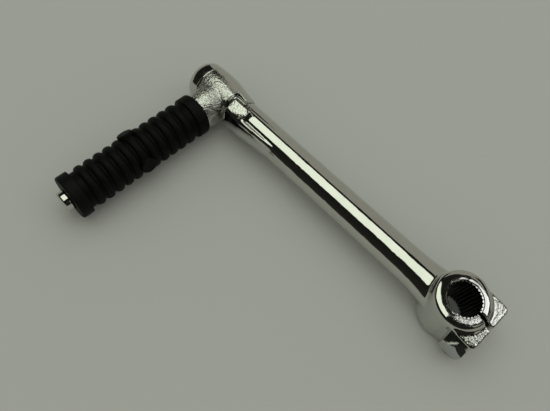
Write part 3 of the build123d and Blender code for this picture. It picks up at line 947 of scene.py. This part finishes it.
pose = add(tree, "ShaderNodeCombineXYZ", {"X": math.radians(-90), "Y": size["Lean"]}).outputs[0]
seat = add(
    tree, "ShaderNodeCombineXYZ", {"X": size["Axis X"], "Y": size["Head Y"], "Z": size["Axis Z"]}
).outputs[0]
whole = add(
    tree,
    "GeometryNodeTransform",
    {"Geometry": whole.outputs["Mesh"], "Rotation": pose, "Translation": seat},
).outputs["Geometry"]
whole = add(tree, "GeometryNodeSetMaterial", {"Geometry": whole, "Material": zinc}).outputs["Geometry"]
add(tree, "NodeGroupOutput", {"Geometry": whole})
bolt = new_piece("plated_pinch_bolt", bpy.data.meshes.new("plated_pinch_bolt"))
grow(bolt, tree, BOLT)
shade_soft(bolt)
fix(bolt, "pinch_bolt", "arm")

# Studio
# A pale matt card under the lever and a soft box overhead, with black cloth round the box, which gives the
# chrome its dark bands. A smaller box to one side lights the boss's ring, and a wide fill lifts the card.
CARD_RADIUS = 2.5
card_mesh = bpy.data.meshes.new("card")
edit = bmesh.new()
bmesh.ops.create_circle(edit, cap_ends=True, segments=96, radius=CARD_RADIUS)
edit.to_mesh(card_mesh)
edit.free()
card = new_piece("card", card_mesh)
card.location.z = cad_low.z
card_stock, tree, shader = surface("matt_grey_card")
shader.inputs["Base Color"].default_value = linear("#868989")
shader.inputs["Roughness"].default_value = 0.9
card_mesh.materials.append(card_stock)

BOX_X = 0.32
BOX_HEIGHT = 1.2

# Each flag is a strip of black cloth: the axis that it runs along, from where to where in metres, and its
# outline across that axis. The chrome shows it, but light that has left the card or the rubber passes it.
FLAGS = {
    "camera_flag": ("X", -1.3, 1.9, [(0.50, 1.22), (0.95, 1.02), (1.25, 0.62), (1.30, 0.16)]),
    "far_flag": ("X", -1.3, 1.9, [(-0.51, 1.22), (-0.80, 1.15)]),
    "head_flag": ("Y", -1.6, 1.6, [(0.98, 1.22), (1.50, 0.95), (1.75, 0.45)]),
    "boss_flag": ("Y", -0.05, 1.6, [(-0.34, 1.22), (-0.90, 1.00), (-1.20, 0.50), (-1.25, 0.10)]),
    "bolt_flag": ("Y", -1.3, -0.05, [(-1.22, 0.42), (-1.25, 0.05)]),
    "lug_flag": ("X", -1.3, -0.2, [(-0.86, 1.02), (-1.25, 0.70)]),
    "gap_flag": ("X", -1.3, -0.35, [(-0.05, 1.23), (-0.51, 1.23)]),
    "end_flag": ("Y", -1.25, -0.3, [(-0.86, 1.02), (-1.20, 0.60)]),
}
cloth, tree, shader = surface("black_cotton_cloth")
shader.inputs["Base Color"].default_value = linear("#2b2a29")
shader.inputs["Roughness"].default_value = 1.0
shader.inputs["Specular IOR Level"].default_value = 0.0
bounced = add(tree, "ShaderNodeLightPath").outputs["Diffuse Depth"]
clear = add(tree, "ShaderNodeBsdfTransparent").outputs["BSDF"]
seen = add(tree, "ShaderNodeMixShader", {0: bounced, 1: shader.outputs["BSDF"], 2: clear}).outputs[0]
tree.links.new(seen, tree.nodes["Material Output"].inputs["Surface"])
for name, (axis, start, end, outline) in FLAGS.items():
    edit = bmesh.new()
    rows = []
    for across, height in outline:
        ends = [(start, across, height), (end, across, height)]
        if axis == "Y":
            ends = [(across, start, height), (across, end, height)]
        rows.append([edit.verts.new(corner) for corner in ends])
    for near, far in zip(rows, rows[1:]):
        edit.faces.new((near[0], near[1], far[1], far[0]))
    flag_mesh = bpy.data.meshes.new(name)
    edit.to_mesh(flag_mesh)
    edit.free()
    flag_mesh.materials.append(cloth)
    flag = new_piece(name, flag_mesh)
    flag.visible_camera = False
    flag.visible_diffuse = False
    flag.visible_shadow = False


def soft_box(name, place, towards, width, depth, watts, colour):
    """A rectangular area light at a place, turned towards a point."""
    lamp = bpy.data.lights.new(name, "AREA")
    lamp.shape = "RECTANGLE"
    lamp.size, lamp.size_y = width, depth
    lamp.energy = watts
    lamp.color = linear(colour)[:3]
    box = bpy.data.objects.new(name, lamp)
    box.location = place
    box.rotation_euler = (Vector(towards) - Vector(place)).to_track_quat("-Z", "Y").to_euler()
    bpy.context.scene.collection.objects.link(box)
    return box


soft_box(
    "overhead_box", (BOX_X, 0, BOX_HEIGHT), (BOX_X, 0, 0), width=1.3, depth=1.0, watts=4.1, colour="#f5ffec"
)
soft_box(
    "side_box", (-0.58, -0.62, 0.98), (0, 0, 0), width=0.5, depth=0.46, watts=1.0, colour="#ffffff"
)
fill_light = soft_box(
    "diffuse_fill", (0.5, -0.9, 1.9), (0.08, 0.03, 0.0), width=2.6, depth=2.6, watts=4.5, colour="#ffffff"
)
fill_light.visible_glossy = False

# The room is a warm grey where the chrome shows it, and gives the card more light than that
ROOM_SHOWN = 0.9
ROOM_LIGHT = 2.8
world = bpy.data.worlds.new("studio")
world.use_nodes = True
bpy.context.scene.world = world
tree = world.node_tree
backdrop = tree.nodes["Background"]
backdrop.inputs["Color"].default_value = linear("#a3a196")
bounced = add(tree, "ShaderNodeLightPath").outputs["Diffuse Depth"]
strength = add(tree, "ShaderNodeMapRange", {"Value": bounced, "To Min": ROOM_SHOWN, "To Max": ROOM_LIGHT})
tree.links.new(strength.outputs["Result"], backdrop.inputs["Strength"])

# Camera
# It looks down on the lever from the pedal's side, with a wide lens close to it. Its place, aim and roll
# were solved from the lever's outlines in the photograph.
FOCAL_PIXELS = 541.0
FRAME_WIDTH = 550
SENSOR = 36.0
AZIMUTH, ELEVATION, ROLL = (math.radians(a) for a in (221.72, 61.21, 5.72))
AIM = Vector((88.66, 24.48, 0.0)) * MM
DISTANCE = 256.6 * MM
back = Vector((
    math.sin(AZIMUTH) * math.cos(ELEVATION), -math.cos(AZIMUTH) * math.cos(ELEVATION), math.sin(ELEVATION)
))
level = Vector((math.cos(AZIMUTH), math.sin(AZIMUTH), 0))
above = back.cross(level)
right = math.cos(ROLL) * level + math.sin(ROLL) * above
up = back.cross(right)
lens = bpy.data.cameras.new("camera")
lens.sensor_width = SENSOR
lens.lens = FOCAL_PIXELS / FRAME_WIDTH * SENSOR
lens.clip_start, lens.clip_end = 0.01, 20
camera = bpy.data.objects.new("camera", lens)
bpy.context.scene.collection.objects.link(camera)
turned = Matrix((right, up, back)).transposed().to_4x4()
camera.matrix_world = Matrix.Translation(AIM + DISTANCE * back) @ turned
bpy.context.scene.camera = camera
bpy.context.scene.view_settings.view_transform = "Standard"
